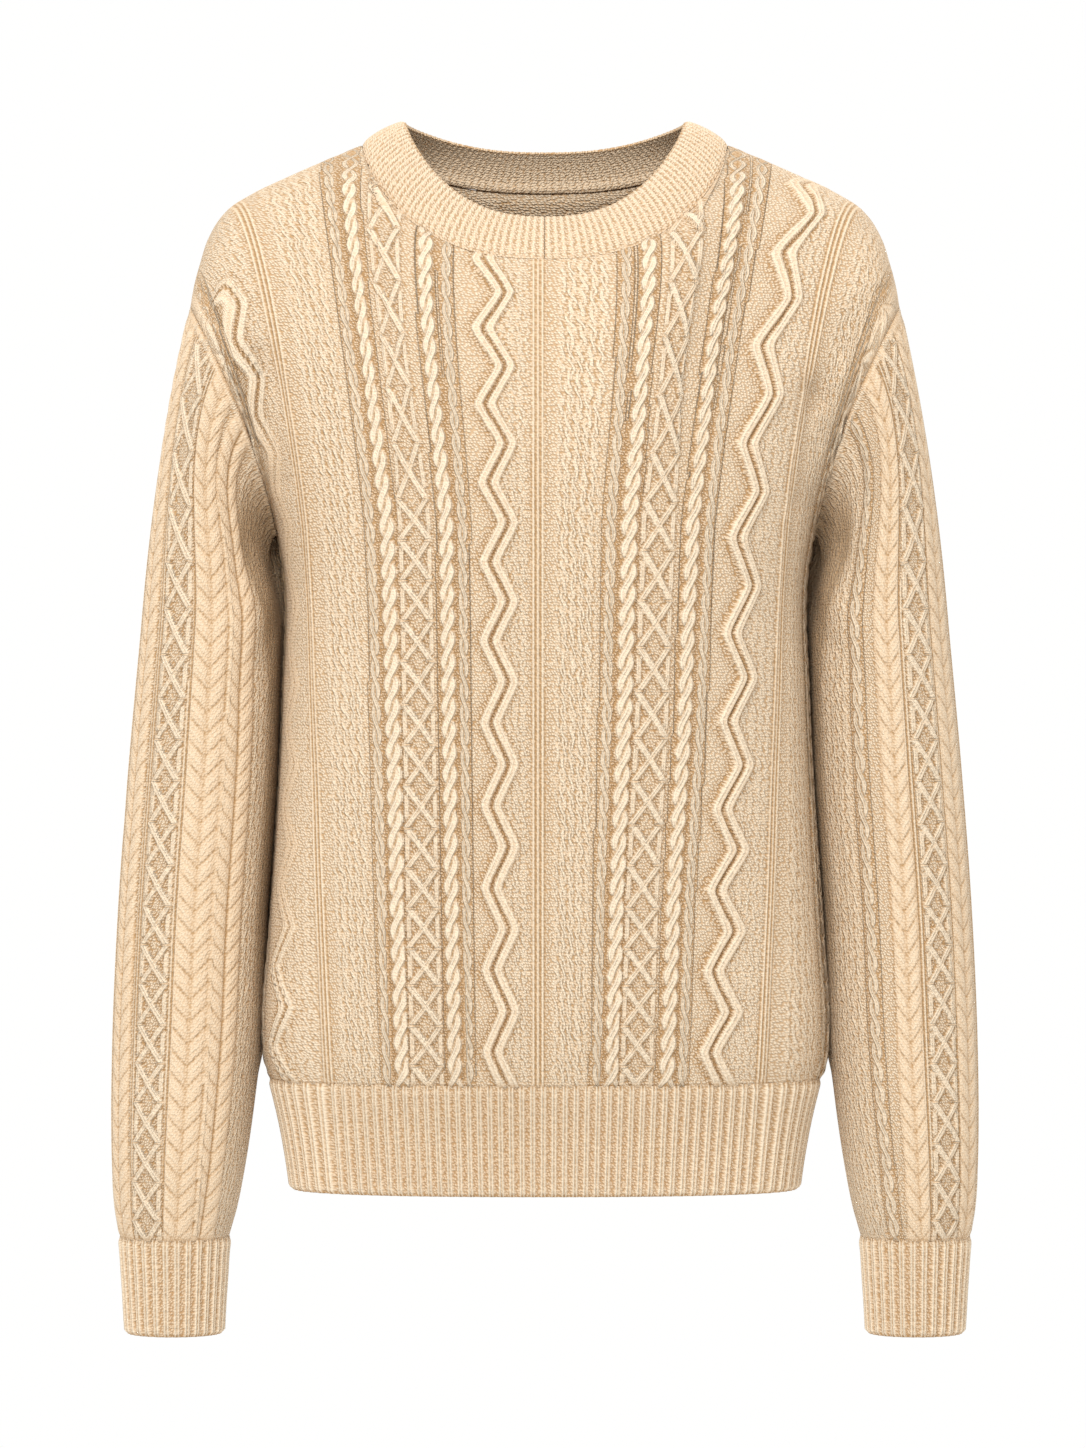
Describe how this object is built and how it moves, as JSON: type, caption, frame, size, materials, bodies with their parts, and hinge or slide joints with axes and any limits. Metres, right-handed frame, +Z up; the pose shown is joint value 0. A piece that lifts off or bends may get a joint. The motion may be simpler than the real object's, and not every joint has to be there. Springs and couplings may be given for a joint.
{
  "type": "cable knit sweater",
  "caption": "Hollow crew-neck pullover in cable knit, shown filled out as worn, with long drop-shoulder sleeves and ribbed neckband, hem and cuffs.",
  "frame": {"origin": "middle of the neck at the height of the shoulder line, where the neckband meets the panels at its sides", "axes": "+Z up, -Y out of the sweater's front, +X towards the wearer's left"},
  "size_m": [0.5386, 0.2243, 0.7526],
  "materials": {
    "cable_knit": "matte, lightly brushed wool in cream",
    "rib_knit": "matte ribbed wool in cream"
  },
  "bodies": {
    "root": {"front_panel": "cable_knit", "back_panel": "cable_knit", "sleeve_left": "cable_knit", "sleeve_right": "cable_knit", "neckband": "rib_knit", "hem_rib_front": "rib_knit", "hem_rib_back": "rib_knit", "cuff_left": "rib_knit", "cuff_right": "rib_knit"}
  },
  "joints": []
}
